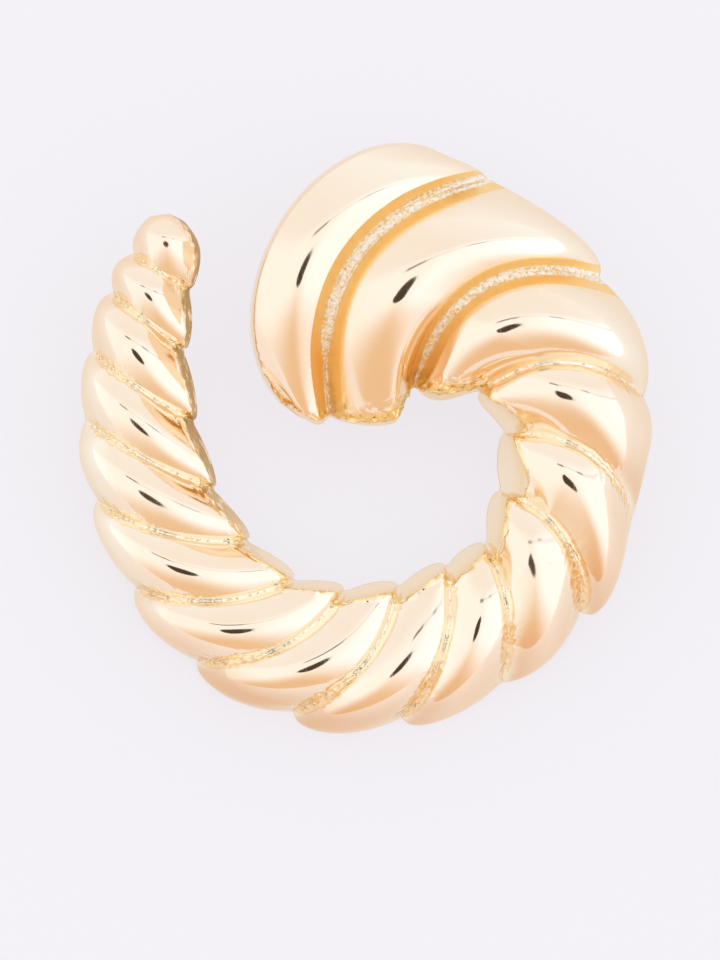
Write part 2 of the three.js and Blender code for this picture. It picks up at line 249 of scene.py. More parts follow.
def slant(at):
    """Runs from 0 where a flute starts to 1 where it ends, and back in the groove."""
    return np.interp(np.asarray(at) % 1, [0, STEP_BACK, 1 - STEP_BACK, 1], [0.5, 0, 1, 0.5])


def aslant(starts, ends, at):
    """A measure that differs between a flute's start and end, and between ring and arm."""
    return mix(mix(*starts, up_the_arm(at)), mix(*ends, up_the_arm(at)), slant(at))


def arch(v, at):
    """across and lift at v along the arch: 0 inner foot, 1 wall's edge, 2 crest, 3 outer foot."""
    wall, edge, crest = measure("wall", at), measure("edge", at), measure("crest", at)
    wall = wall * mix(1, aslant(WALL_START, WALL_END, at), slanting(at))
    up = np.clip(v, 0, 1)
    inner = np.clip(2 - v, 0, 1)
    outer = np.clip(v - 2, 0, 1) * np.pi / 2
    across = np.where(v < 1, wall * up, np.where(v < 2, mix(crest, wall, inner),
                      mix(crest, 1, np.sin(outer) ** (2 / OUTER_POWER))))
    lift = np.where(v < 1, edge * up, np.where(v < 2, mix(1, edge, inner**INNER_POWER),
                    np.maximum(np.cos(outer), 0) ** (2 / OUTER_POWER)))
    return across, np.where(v > 3 - 1e-9, 0, lift)


def crest_form(at, v, swell):
    """A point of the smooth form that runs over the flutes' crests."""
    across, lift = arch(v, at)
    rise = measure("rise", at)
    length = np.maximum(line_length(at), 0.5)
    toe = measure("toe", at) * mix(swell, 1 - slant(at), SLANT * slanting(at))
    heel = measure("heel", at) * swell
    flat = plan(at, mix(-toe / length, 1 + heel / length, across))
    return np.concatenate([flat, (rise * shoulder(at) * lift)[..., None]], -1)


crest = crest_form(np.array([0.5, 8.5]), np.array([2.0, 2.0]), np.ones(2))
print("crest of the first and the ninth flute, mm:", crest.round(2).tolist())

# %% [markdown]
# ## Crowns and grooves
# Along the horn each flute is a crown that falls away to the grooves on both sides, and a groove
# has two straight walls and a narrow rough floor. The first two grooves are wide and deep, and the
# others are hardly more than a pinch. Each width is worked out from the flutes beside it, so that
# no groove takes more of a narrow flute than it can spare.

# %% Crowns and grooves
WIDE_FLUTES = 3  # the first flutes are wide, with wide grooves between them
WIDE_HALF = 2.6  # half width past which a crown falls no further
MOST_CUT = 0.2  # of a flute's width, that a groove takes at most
RELIEF_FULL = 0.6  # of the rise, above which a groove has its full depth


def wide_then_narrow(wide, narrow):
    """A value for each flute, or for the groove in front of it."""
    return np.where(np.arange(FLUTES) < WIDE_FLUTES, wide, narrow)


CROWN_FALL = np.full(FLUTES, 0.4)  # each crown's fall per mm of half width
CROWN_FALL[:WIDE_FLUTES] = 0.42, 0.45, 0.5
WALL_SLOPE = wide_then_narrow(1.75, 1.35)  # how steeply each groove's walls drop


def unit(vectors):
    return vectors / np.maximum(np.linalg.norm(vectors, axis=-1, keepdims=True), 1e-9)


def flute_width(flute, across):
    """Width of a flute square to its grooves."""
    middle, near = flute + 0.5, 0.01
    along = unit(plan(middle, across + near) - plan(middle, across - near))
    step = plan(flute + 1.0, across) - plan(flute + 0.0, across)
    return np.abs(step[..., 0] * along[..., 1] - step[..., 1] * along[..., 0])


def cut_share(flute, station, across):
    return np.minimum(measure("cut", station) / np.maximum(flute_width(flute, across), 0.05), MOST_CUT)


def crown_fall(flute, across):
    """Depth at a flute's edges under its crest line."""
    first, last = cut_share(flute, flute, across), cut_share(flute, flute + 1, across)
    half = (1 - first - last) / 2 * flute_width(flute, across)
    return CROWN_FALL[flute] * np.minimum(half, WIDE_HALF)


def relief_share(lift):
    return np.sin(np.minimum(lift / RELIEF_FULL, 1) * np.pi / 2)


falls = [float(crown_fall(flute, np.array(0.5))) for flute in range(FLUTES)]
print("fall of each crown at mid width, mm:", [round(fall, 2) for fall in falls])

# %% [markdown]
# ## Rows of points
# The mesh gets a row of points for each line across the horn that matters. Even steps would waste
# them on the smooth crowns. So a groove gets almost as many rows as the crown beside it, though it
# is far narrower, and the rows crowd together where the big end and the tip turn down.

# %% Rows along the horn
HEAD_ROWS, HEAD_CROWDING = 40, 1.6  # a power over 1 crowds the rows towards the horn's end
TIP_ROWS, TIP_CROWDING = 34, 1.5
GROOVE_ROWS, CROWN_ROWS = (19, 13), (26, 18)  # in wide and in narrow flutes


def horn_rows():
    """(kind, flute, share) of every row: share runs -1 to 1 over a crown or a groove."""
    rows = [("head", 0, share) for share in np.linspace(0, 1, HEAD_ROWS) ** HEAD_CROWDING]
    for flute in range(1, FLUTES):
        narrow = flute >= WIDE_FLUTES
        groove = np.linspace(-1, 1, GROOVE_ROWS[narrow] + 2)[1:-1]
        rows += [("groove", flute, share) for share in groove]
        if flute < FLUTES - 1:
            rows += [("crown", flute, share) for share in np.linspace(-1, 1, CROWN_ROWS[narrow])]
    crowded = 1 - (1 - np.linspace(0, 1, TIP_ROWS)) ** TIP_CROWDING
    return rows + [("tip", FLUTES - 1, share) for share in crowded]


ROWS = horn_rows()
print("rows along the horn:", len(ROWS))

# %% [markdown]
# ## Laying a sheet over the form
# A flat grid of squares is added like a sheet of wax, and every crossing of it is moved by code to
# its place on the form. Moving points by rule is the quickest way to a surface that no primitive
# has. A point sinks under the crest line by the depth of its crown or groove, square to the line
# that runs across the horn, so the relief stays even right over the arch.

# %% The height of a groove
NARROW_FLOOR = 0.35  # of a wide groove's floor is left near its inner end
FLOOR_OPENS, OPENING = (0, 0.115, 0.05), 0.08  # place over the width where each wide floor opens
BEAD = wide_then_narrow(0.55, 0.25)  # how high each groove's floor swells
SWELL_POWER = 2.2  # the higher, the fuller a flute's shoulders
WALL_FADE = 6  # the wall's mask is full a sixth of the way down
FLOOR_FADE = 0.25  # of a floor's width, over which its mask fades


def swell_at(place):
    """How far a flute swells past its neighbours, at a place over its width from 0 to 1."""
    return 1 - np.abs(2 * place - 1) ** SWELL_POWER


def groove_relief(flute, share, across):
    """Station, depth under the crest, swell, and the masks of a groove's wall, floor and side."""
    side = flute - 1 if share < 0 else flute
    at = flute + share * cut_share(side, flute, across)
    cut = np.minimum(measure("cut", flute), MOST_CUT * flute_width(side, across))
    floor = np.minimum(measure("floor", flute), 0.5 * cut)
    if flute < WIDE_FLUTES:
        opening = np.clip((across - FLOOR_OPENS[flute]) / OPENING, 0, 1)
        floor = floor * mix(NARROW_FLOOR, 1, opening)
    away = np.abs(share) * cut
    rims = crown_fall(flute - 1, across), crown_fall(flute, across)
    floor_depth = (rims[0] + rims[1]) / 2 + WALL_SLOPE[flute] * (cut - floor)
    down = np.clip((cut - away) / (cut - floor), 0, 1)
    bead = np.sqrt(np.clip(1 - (away / floor) ** 2, 0, 1)) * BEAD[flute] * floor
    depth = mix(rims[0 if share < 0 else 1], floor_depth, down) - bead
    wall_mask = np.clip(down * WALL_FADE, 0, 1)
    floor_mask = np.clip((floor * (1 + FLOOR_FADE) - away) / (FLOOR_FADE * floor), 0, 1)
    return at, depth, swell_at(at - side), wall_mask, floor_mask, np.ones_like(across)


sample = groove_relief(8, 0.0, np.array([0.1, 0.5, 0.9]))
print("depth along the eighth groove, mm:", sample[1].round(2))

# %% The height of a crown
HEAD_CREST = 0.35  # of the first flute, where its crown starts to fall
SIDE_POWER, HEAD_SIDE_POWER = 5, 10  # how close to its grooves a crown's side mask stays


def relief(kind, flute, share, across):
    """What groove_relief gives, for a row of any kind."""
    if kind == "groove":
        return groove_relief(flute, share, across)
    nothing = np.zeros_like(across)
    first = nothing if kind == "head" else cut_share(flute, flute, across)
    last = nothing if kind == "tip" else cut_share(flute, flute + 1, across)
    fall = crown_fall(flute, across)
    if kind == "head":
        at = share * (1 - last)
        bend = max(share - HEAD_CREST, 0) / (1 - HEAD_CREST)
        swell = swell_at(np.maximum(at, 0.5)) * share
        return at, fall * bend**2, swell, nothing, nothing, nothing + share**HEAD_SIDE_POWER
    if kind == "tip":
        at = flute + mix(first, 1, share)
        swell = swell_at(np.minimum(at - flute, 0.5)) * (1 - share)
        side = max(1 - 2 * share, 0)
        return at, fall * side**2, swell, nothing, nothing, nothing + side**SIDE_POWER
    place = mix(first, 1 - last, (share + 1) / 2)
    side = nothing + abs(share) ** SIDE_POWER
    return flute + place, fall * share**2, swell_at(place), nothing, nothing, side


sample = relief("crown", 8, 1.0, np.array([0.1, 0.5, 0.9]))
print("depth at the ninth crown's edge, mm:", sample[1].round(2))

# %% Let the points down into the grooves
SLIDE_TO = 1.45  # along the arch; nearer the inner edge than this, a point slides down the wall


def square_down(at, v, lowest, swell):
    """The way down into the metal, square to the line across the horn."""
    step = 0.02
    ahead = crest_form(at, np.minimum(v + step, 3), swell)
    run = ahead - crest_form(at, np.maximum(v - step, lowest), swell)
    level = np.maximum(np.hypot(run[..., 0], run[..., 1]), 1e-9)
    return unit(np.stack([run[..., 0] * run[..., 2] / level, run[..., 1] * run[..., 2] / level,
                          -level], -1))


def sunk(at, v, swell, depth):
    """The crest form let down by depth. The plain wall stays where it is: only its top edge
    slides down it."""
    over = np.maximum(v, 1)
    foot, edge = crest_form(at, 0 * v, swell), crest_form(at, 0 * v + 1, swell)
    slide = np.clip((SLIDE_TO - over) / (SLIDE_TO - 1), 0, 1)[..., None]
    slide = slide**2 * (3 - 2 * slide)
    way = unit(mix(square_down(at, over, 1, swell), unit(foot - edge), slide))
    points = crest_form(at, over, swell) + way * depth[..., None]
    top = np.flatnonzero(v >= 1)[0]
    wall = v < 1
    points[wall] = mix(foot[wall], points[top], v[wall][:, None])
    return points


# %% [markdown]
# ## Filed, rough and painted places
# The polishing wheel doesn't treat every place alike. The crisp inner edges and the mouths of the
# grooves are dressed with a file, and the grooves and outer ends keep the skin of the casting. Light
# and shade are painted into the gold too: it is paler where the ring's inner wall, the narrow grooves
# and some flanks reflect the bright table, rosier down flanks that reflect the table's shadow, and
# deeper or darker on the plain wall. Such places could be painted on the mesh by hand. Here each is
# a mask, a number from 0 to 1 at every point, that is worked out from the station and the place
# along the arch, so it fits every flute.

# %% Where the metal is filed
HEAD_REACH = 0.45, 1.15  # mm of dome beside the crisp inner edge that is filed on the first flutes
HEAD_WIDENS, HEAD_ENDS = (1.15, 1.6), (2.7, 3.2)  # over these stations it widens, and gives way
HEAD_GROWS = (0, 0.7), (0.3, 1)  # stations, and how hard the big end's edge is filed there
EDGE_START, EDGE_END = (0.5, 0.16), (0.16, 0.36)  # mm on the slanted flutes, as WALL_START
WALL_REACH = 0.5  # the file reaches down the wall by this share of its reach up the dome
CORNER_REACH, CORNER_OVER = 1.1, 0.1  # mm that it reaches into a groove, and over the edge
FOOT_FILED, FOOT_MIDDLE, FOOT_WIDTH = 0.4, 0.9, 0.35  # a line at the foot of the big end's wall
FOOT_TOP, FOOT_FADE = 1.5, 3  # along the arch
SLANTED_FILED = 0.73  # how hard the slanted flutes are filed


def filed(kind, at, steps, past_edge, in_groove):
    """How hard each point of a row is filed, from its distance past the crisp edge in mm."""
    reach = np.interp(at, HEAD_WIDENS, HEAD_REACH)
    reach = mix(reach, aslant(EDGE_START, EDGE_END, at), np.interp(at, HEAD_ENDS, (0, 1)))
    reach = reach * np.where(past_edge < 0, WALL_REACH, 1)
    edge = np.exp(-(past_edge / reach) ** 2) * shoulder(at) * np.interp(at, *HEAD_GROWS)
    corner = in_groove * np.clip(1 - past_edge / CORNER_REACH, 0, 1)
    corner = corner * (past_edge > -CORNER_OVER) * (at > 1)
    foot = np.zeros_like(at)
    if kind == "head":
        foot = np.exp(-((at / HEAD_WALL_RUN - FOOT_MIDDLE) / FOOT_WIDTH) ** 2)
        foot = foot * np.clip((FOOT_TOP - steps) * FOOT_FADE, 0, 1) * FOOT_FILED
    hard = np.clip(np.maximum.reduce([edge, corner, foot]), 0, 1)
    return hard * np.interp(at, HEAD_ENDS, (1, SLANTED_FILED))


# %% Painted light and shade in the gold
YELLOW_EDGE, YELLOW_POWER = 0.65, 1.5  # painted shade: the slanted flutes' walls turn a deeper yellow up to this at their edge
YELLOW_ENDS = 0.4  # of a station, over which the first flutes' yellow walls give way to these
FLANK_FROM, FLANK_FULL = 2.25, 0.3  # along the arch, where the outer flank begins
PALE_WALL, PALE_GROOVE = 0.75, 0.65  # painted reflection: how much paler the ring's inner walls and narrow grooves are made, as if lit by the bright table
ROSY_END = 0.85  # painted shade: how much rosier a flute's outer end is made on the side where it ends
ROSY_FROM, ROSY_WIDTH = 0.4, 0.4  # of a flute
ROSY_FLUTES = (3, 4, 9, 9.6), (0, 1, 1, 0)  # stations, and the share of it there


def plating(at, steps, in_groove):
    """How much painted shade deepens the plain wall and darkens the arm's, and how much painted light
    pales and painted shade rosies the gold.
    """
    on_wall = steps < 1
    first_flutes = np.clip((SLANT_FULL - at) / YELLOW_ENDS, 0, 1)
    # painted shade: the plain wall a deeper yellow up towards its crisp edge
    yellow = np.where(on_wall, np.maximum(YELLOW_EDGE * steps**YELLOW_POWER, first_flutes), 0)
    # painted shade: the arm's inner wall, matt and darker where it reflects the far side of the ring
    dull = np.where(on_wall, up_the_arm(at), 0)
    flank = np.clip((steps - FLANK_FROM) / FLANK_FULL, 0, 1)
    # painted light and shade on the outer flank, from the table's column
    flank_light = flank * measure("flank_light", at)
    # painted reflection of the bright table: a paler inner wall, narrow grooves and some flanks
    pale = np.where(on_wall, PALE_WALL * (1 - first_flutes),
                    np.maximum(flank_light, PALE_GROOVE * in_groove * slanting(at)))
    # painted shade: rosier outer ends on the lower flutes, where they reflect the table's shadow
    end = np.clip((at % 1 - ROSY_FROM) / ROSY_WIDTH, 0, 1) * np.interp(at, *ROSY_FLUTES)
    rosy = np.maximum(-flank_light, flank * end * ROSY_END) * (1 - in_groove)
    return yellow, dull, pale, rosy


# %% [markdown]
# ## The rows and their masks
# Each row is worked out together with its masks, as both depend on how far down its groove a point
# lies. The grid primitive is then laid over the rows, one crossing to a point, and the masks are
# kept on the mesh as attributes, where the finish can read them.

# %% Lay the rows
ON_WALL, ON_DOME, ON_FLANK = 14, 64, 74  # points up the plain wall, over the dome, down the flank
CROWDING = 1.25  # crowds the dome's points towards the crisp edge
ARCH_STEPS = np.concatenate([
    np.linspace(0, 1, ON_WALL, endpoint=False),
    1 + np.linspace(0, 1, ON_DOME, endpoint=False) ** CROWDING, np.linspace(2, 3, ON_FLANK)])
TOP_STEP = int(np.flatnonzero(ARCH_STEPS >= 1)[0])
COLOURED = wide_then_narrow(1, 0.08)  # how far each groove's walls stay matt and take a painted deep-gold shade
SPARKLING = wide_then_narrow(1, 0.32)  # how far each groove's floor stays rough and carries its painted whitish glitter
RIM_CLEAR = 0.02  # mm over the rim, from which the front is worked on
SKIN_FROM, SKIN_WIDTH = 0.45, 0.2  # over the width, where the casting's skin begins
MATT_FROM, MATT_WIDTH = 0.3, 0.6  # mm past the big end's edge, where its groove turns matt
EDGE_FADE = 0.05  # mm past the other edges
SLANTED_SIDE = 0.3  # how much of the rougher polish and the painted shade along their sides the slanted flutes keep


def lay_row(kind, flute, share, steps):
    """The points of one row, and its masks in the order of MASKS."""
    across, lift = arch(steps, np.full_like(steps, flute + 0.5))
    at, depth, swell, wall, floor, side = relief(kind, flute, share, across)
    at = at + np.zeros_like(across)
    fade = relief_share(np.where(steps < 1, 1, lift)) * shoulder(at)
    points = sunk(at, steps, swell, depth * fade)
    points[:, 2] = np.maximum(points[:, 2], 0)
    points[[0, -1], 2] = 0
    along = np.r_[0, np.cumsum(np.linalg.norm(np.diff(points, axis=0), axis=-1))]
    past_edge = along - along[TOP_STEP]
    in_groove, off_rim = np.maximum(wall, side), points[:, 2] > RIM_CLEAR
    cut = filed(kind, at, steps, past_edge, in_groove) * off_rim
    outer_half = np.clip((across - SKIN_FROM) / SKIN_WIDTH, 0, 1) * slanting(at)
    skin = in_groove * outer_half * relief_share(lift) * off_rim
    yellow, dull, pale, rosy = plating(at, steps, in_groove)
    dome = np.clip(past_edge / EDGE_FADE, 0, 1)
    matt = np.where(at < 1, np.clip((past_edge - MATT_FROM) / MATT_WIDTH, 0, 1), dome)
    side = side * dome * relief_share(lift) * mix(1, SLANTED_SIDE, slanting(at))
    return (points, wall * matt * COLOURED[flute], floor * dome * SPARKLING[flute],
            cut, skin, yellow, dull, side, pale, rosy)


MASKS = ("groove_wall", "groove_floor", "cut_edge", "rough_skin", "plain_wall", "shaded_matt_arm_wall",
         "groove_side", "painted_pale_light", "painted_rosy_shade")
laid = [lay_row(*row, ARCH_STEPS) for row in ROWS]
surface, *mask_values = [np.array(part) for part in zip(*laid)]
print("surface", surface.shape, "from", surface.min((0, 1)).round(2), "to", surface.max((0, 1)).round(2))


# %% Lay a grid over it
def grid_piece(name, points):
    """A grid primitive with a crossing for each point, moved onto the points (mm)."""
    rows, columns = points.shape[:2]
    deselect()
    bpy.ops.mesh.primitive_grid_add(x_subdivisions=columns - 1, y_subdivisions=rows - 1, size=2)
    piece = bpy.context.object
    piece.name = piece.data.name = name
    flat = np.empty(len(piece.data.vertices) * 3)
    piece.data.vertices.foreach_get("co", flat)
    flat = flat.reshape(-1, 3)
    column = np.rint((flat[:, 0] + 1) / 2 * (columns - 1)).astype(int)
    row = np.rint((flat[:, 1] + 1) / 2 * (rows - 1)).astype(int)
    piece.data.vertices.foreach_set("co", (points[row, column] * MM).ravel())
    piece.data.update()
    return piece, row, column


def point_values(piece, name, values):
    layer = piece.data.attributes.new(name, "FLOAT", "POINT")
    layer.data.foreach_set("value", values.astype(np.float32))


horn, row_of, column_of = grid_piece("fluted_horn", surface)
for name, values in zip(MASKS, mask_values):
    point_values(horn, name, values[row_of, column_of])
on_front = (surface[..., 2] > RIM_CLEAR).astype(float)
point_values(horn, "front", on_front[row_of, column_of])
print("horn grid:", len(horn.data.vertices), "points")

# %% [markdown]
# ## Roughening
# A file leaves small uneven facets, and the places that no wheel reaches keep the grain of the
# mould. Bump in the finish would be lost at the outline, so the points themselves are moved: a
# Displace modifier moves them by a clouds texture, as far as a vertex group lets it. The masks are
# turned into vertex groups first, and the modifiers are applied one after the other.

# %% Roughen the filed edges, the outer skin and the groove floors
WEIGHT_LEVELS = 10  # points of like weight join a group together, which is far quicker


def weigh(piece, name):
    """A vertex group with the weights of a mask."""
    values = np.empty(len(piece.data.vertices), np.float32)
    piece.data.attributes[name].data.foreach_get("value", values)
    group = piece.vertex_groups.new(name=name + "_weight")
    levels = np.rint(values * WEIGHT_LEVELS).astype(int)
    for level in range(1, WEIGHT_LEVELS + 1):
        group.add(np.flatnonzero(levels == level).tolist(), level / WEIGHT_LEVELS, "REPLACE")
    return group.name


def roughen(piece, name, grain, height):
    """Lumps grain mm across and height mm from trough to top, where a mask is full."""
    texture = bpy.data.textures.new(name, "CLOUDS")
    texture.noise_scale, texture.noise_depth = grain * MM, 2
    lumps = piece.modifiers.new(name, "DISPLACE")
    lumps.texture, lumps.strength, lumps.mid_level = texture, height * MM, 0.5
    lumps.vertex_group = weigh(piece, name)


roughen(horn, "cut_edge", 0.5, 0.75)
roughen(horn, "rough_skin", 0.36, 0.15)
roughen(horn, "groove_floor", 0.24, 0.22)
apply_modifiers(horn)
print("roughened with", len(horn.vertex_groups), "masks")

# %% [markdown]
# ## Closing the back
# So far the horn is a sheet that ends on its flat rim. The loose edge all round it is the only one
# that belongs to a single face, so it can be found without counting points, and one flat face laid
# over it makes the horn a closed solid, which is what a Boolean modifier needs.


# %% Close its flat back
def close_back(piece):
    pick(piece)
    bpy.ops.object.mode_set(mode="EDIT")
    bpy.ops.mesh.select_all(action="SELECT")
    bpy.ops.mesh.remove_doubles(threshold=1e-6)
    bpy.ops.mesh.select_all(action="DESELECT")
    bpy.ops.mesh.select_mode(type="EDGE")
    bpy.ops.mesh.select_non_manifold()
    bpy.ops.mesh.edge_face_add()
    bpy.ops.mesh.select_all(action="SELECT")
    bpy.ops.mesh.normals_make_consistent(inside=False)
    bpy.ops.object.mode_set(mode="OBJECT")


close_back(horn)
print("closed horn:", len(horn.data.polygons), "faces")

# %% [markdown]
# ## The hollow back
# A casting this big is hollowed from behind, to save metal and the wearer's ear. A Solidify
# modifier would copy every scratch of the face to the inside. Instead a second, coarser sheet is
# laid a wall's thickness under the first, to be closed and cut out of the horn.

# %% The sheet of the hollow
BACK_RIM, SHELL = 1.3, 1.1  # mm of metal at the rim and over the hollow
HOLLOW = np.arange(0.32, 13.4, 0.25)  # stations; the tip is solid
CLEAR = 1.0  # mm that the cutter stands out of the back
HOLLOW_STEPS = np.concatenate([[0, 0.5], np.linspace(1, 2, 9, endpoint=False), np.linspace(2, 3, 14)])


def hollow_rows():
    rows = []
    for place in HOLLOW:
        at = np.full_like(HOLLOW_STEPS, place)
        across, lift = arch(HOLLOW_STEPS, at)
        groove = min(max(round(place), 1), FLUTES - 1)
        depth = (crown_fall(groove - 1, across) + crown_fall(groove, across)) / 2
        depth = depth + WALL_SLOPE[groove] * measure("cut", groove)
        wave = depth * (2 * (place % 1) - 1) ** 2 * (place > 0.5) * relief_share(lift)
        under = (mix(BACK_RIM, SHELL, lift) + wave)[..., None]
        down = square_down(at, HOLLOW_STEPS, 0, 0 * at)
        points = crest_form(at, HOLLOW_STEPS, 0 * at) + down * under
        points[lift <= 0, 2] = -CLEAR
        rows.append(points)
    first, last = rows[0].copy(), rows[-1].copy()
    first[:, 2] = last[:, 2] = -CLEAR
    return np.array([first, *rows, last])


hollow = hollow_rows()
print("hollow:", len(HOLLOW), "rows, up to", hollow[..., 2].max().round(2), "mm deep")

# %% [markdown]
# ## The boss and the cut
# The post is soldered to a round boss on the roof of the hollow. A cylinder joined on afterwards
# would have to meet the roof exactly. Instead the cylinder is cut out of the cutter, and the cutter
# out of the horn, so the boss is simply left standing.

# %% Cut the hollow and leave the boss
PLATE_FOOT, PLATE = 3.0 * MM, 0.5 * MM  # the post's foot plate begins this far inside the rim
SOLDER = 0.3 * MM
BOSS_RADIUS, BOSS_TOP = 2.0 * MM, 9.0 * MM
ROUND = 48  # corners of a turned circle
HORN_SMOOTH = 38  # degrees; a sharper edge than this stays an edge
boss_foot = PLATE_FOOT + PLATE + SOLDER
post_end = LAY.inverted() @ Vector(mounts["post_end"]["pos_m"])  # in the earring's own plane


def post_boss():
    deselect()
    bpy.ops.mesh.primitive_cylinder_add(
        vertices=ROUND, radius=BOSS_RADIUS, depth=BOSS_TOP - boss_foot,
        location=(post_end.x, post_end.y, (BOSS_TOP + boss_foot) / 2))
    boss = bpy.context.object
    boss.name = "post_boss"
    bpy.ops.object.transform_apply(location=True)
    return boss


def carve(piece, tool):
    """Cuts a tool's solid out of a piece, and throws the tool away."""
    step = piece.modifiers.new(tool.name, "BOOLEAN")
    step.operation, step.object, step.solver = "DIFFERENCE", tool, "EXACT"
    apply_modifiers(piece)
    bpy.data.objects.remove(tool)


cutter, _, _ = grid_piece("hollow_cutter", hollow)
close_back(cutter)
carve(cutter, post_boss())
carve(horn, cutter)

lay_down(horn)
pick(horn)
bpy.ops.object.shade_smooth_by_angle(angle=math.radians(HORN_SMOOTH))
print("finished horn:", len(horn.data.polygons), "faces")

# %% [markdown]
# ## The post
# The post is a straight wire that goes through the ear, with a ring rolled into it where the
# clutch catches and a blunt tip. Its foot is a small round plate, soldered to the boss. It is
# turned here as on a lathe: a circle is filled for the tip, and then extruded and widened or
# narrowed once for each row of a short table.

# %% Turn the post
TURNED = (  # height above the tip and radius, mm
    (0.0, 0.25), (0.06, 0.36), (0.2, 0.45), (1.75, 0.45), (1.95, 0.41), (2.2, 0.32), (2.45, 0.41),
    (2.65, 0.45), (9.7, 0.45), (9.85, 0.5), (9.95, 0.62), (10.0, 0.8), (10.0, 1.6), (10.1, 1.7),
    (10.42, 1.7), (10.5, 1.62), (10.56, 1.66), (10.7, 1.8), (10.8, 1.97))
POST_SMOOTH = 35  # degrees

deselect()
tip_radius = TURNED[0][1]
bpy.ops.mesh.primitive_circle_add(vertices=ROUND, radius=tip_radius * MM, fill_type="NGON",
                                  location=post_end)
post = bpy.context.object
post.name = post.data.name = "ear_post_turned"
bpy.ops.object.transform_apply(location=True)
bpy.ops.object.mode_set(mode="EDIT")
for (low, narrow), (high, wide) in zip(TURNED, TURNED[1:]):
    bpy.ops.mesh.extrude_region_move(TRANSFORM_OT_translate={"value": (0, 0, (high - low) * MM)})
    bpy.ops.transform.resize(value=(wide / narrow, wide / narrow, 1),
                             center_override=(post_end.x, post_end.y, post_end.z + high * MM))
bpy.ops.mesh.select_all(action="SELECT")
bpy.ops.mesh.normals_make_consistent(inside=False)
bpy.ops.object.mode_set(mode="OBJECT")
rings = np.array([point.co.z for point in post.data.vertices]) / MM - post_end.z / MM
point_values(post, "height", rings)
lay_down(post)
pick(post)
bpy.ops.object.shade_smooth_by_angle(angle=math.radians(POST_SMOOTH))
print("post:", len(post.data.vertices), "points,", round(rings.max(), 2), "mm long")

# %% [markdown]
# ## Writing finishes as sums
# A finish is a web of nodes. To keep it readable, a small class wraps a node's output so that sums
# can be written on it as on a number, and one method adds any other node from its type, its
# settings and what goes into its sockets.


# %% Helpers for finishes
class Wire:
    """A node's output, on which sums can be written."""

    def __init__(self, finish, socket):
        self.finish, self.socket = finish, socket

    def maths(self, operation, first, second):
        return self.finish.node("Math", {"operation": operation}, {0: first, 1: second})

    def __add__(self, other):
        return self.maths("ADD", self, other)

    def __sub__(self, other):
        return self.maths("SUBTRACT", self, other)

    def __rsub__(self, other):
        return self.maths("SUBTRACT", other, self)

    def __mul__(self, other):
        return self.maths("MULTIPLY", self, other)

    def __neg__(self):
        return self.maths("MULTIPLY", self, -1)

    __radd__, __rmul__ = __add__, __mul__


class Finish:
    """The nodes of a material or of the world."""

    def __init__(self, owner):
        owner.use_nodes = True
        self.tree = owner.node_tree
        self.tree.nodes.clear()

    def node(self, kind, settings=None, sockets=None, out=0):
        made = self.tree.nodes.new("ShaderNode" + kind)
        for name, value in (settings or {}).items():
            setattr(made, name, value)
        for name, value in (sockets or {}).items():
            if isinstance(value, Wire):
                self.tree.links.new(value.socket, made.inputs[name])
            elif isinstance(value, tuple) and made.inputs[name].type == "RGBA":
                made.inputs[name].default_value = (*value, 1)
            else:
                made.inputs[name].default_value = value
        return Wire(self, made.outputs[out])

    def step(self, value, low, high):
        """0 below low, 1 above high, and a smooth rise between."""
        return self.node("MapRange", {"interpolation_type": "SMOOTHSTEP"},
                         {"Value": value, "From Min": low, "From Max": high})

    def blend(self, first, second, share):
        return self.node("Mix", {"data_type": "RGBA"}, {0: share, 6: first, 7: second}, out=2)

    def mask(self, name):
        return self.node("Attribute", {"attribute_name": name}, out="Fac")

    def place(self):
        return self.node("TexCoord", out="Object")

    def noise(self, grain, detail=2.0, stretch=None, roughness=0.5):
        """Noise whose lumps are grain mm across, stretched along an axis if asked."""
        where = self.place()
        if stretch:
            where = self.node("Mapping", {}, {"Vector": where, "Scale": stretch,
                                              "Rotation": (0.2, 0.1, 0.7)})
        return self.node("TexNoise", {}, {"Vector": where, "Scale": 1 / (grain * MM),
                                          "Detail": detail, "Roughness": roughness})

    def surface(self, shader):
        end = self.tree.nodes.new("ShaderNodeOutputMaterial")
        self.tree.links.new(shader.socket, end.inputs["Surface"])


# %% [markdown]
# ## The plating
# The horn is plated a pale, slightly pink gold and polished like a mirror. Reflected light and
# shade are painted into its colour: paler where the ring's inner wall, the narrow grooves and some
# flanks reflect the bright table, rosier down the outer flanks that reflect the table's shadow, and
# a deeper gold up the plain wall under the crisp edge and along the crowns' sides by the grooves.
# Polish doesn't reach everywhere: the steep walls of the wide grooves stay matt, with a painted
# deep-gold shade of gold reflected in gold, the groove floors keep the rough grain of the casting,
# with their glitter painted as a whitish gold, and the filed inner edges are a brighter yellow. Up
# the narrow arm the inner wall is matt, with a dark brown painted shade where it reflects the far
# side of the ring, and the hollow back was never polished. The masks laid on the mesh say where
# each begins, so all of it can be one finish, and a little noise frays the borders.

# %% Where each kind of gold begins
gold = bpy.data.materials.new("polished_pale_gold")
finish = Finish(gold)
fray = finish.noise(0.22, 3.0)
wall_share = finish.step(finish.mask("groove_wall") + (fray - 0.5) * 0.5, 0.15, 0.6)
floor_share = finish.step(finish.mask("groove_floor") + (finish.noise(0.3, 4.0) - 0.5) * 1.6, 0.4, 0.6)
side_share = finish.mask("groove_side") * finish.step(fray, 0.2, 0.5)
filed_share = finish.step(finish.mask("cut_edge") + (finish.noise(0.5, 3.0) - 0.5) * 0.9, 0.3, 0.75)
back_share = 1 - finish.step(finish.mask("front"), 0.2, 0.8)
plain = finish.mask("plain_wall")
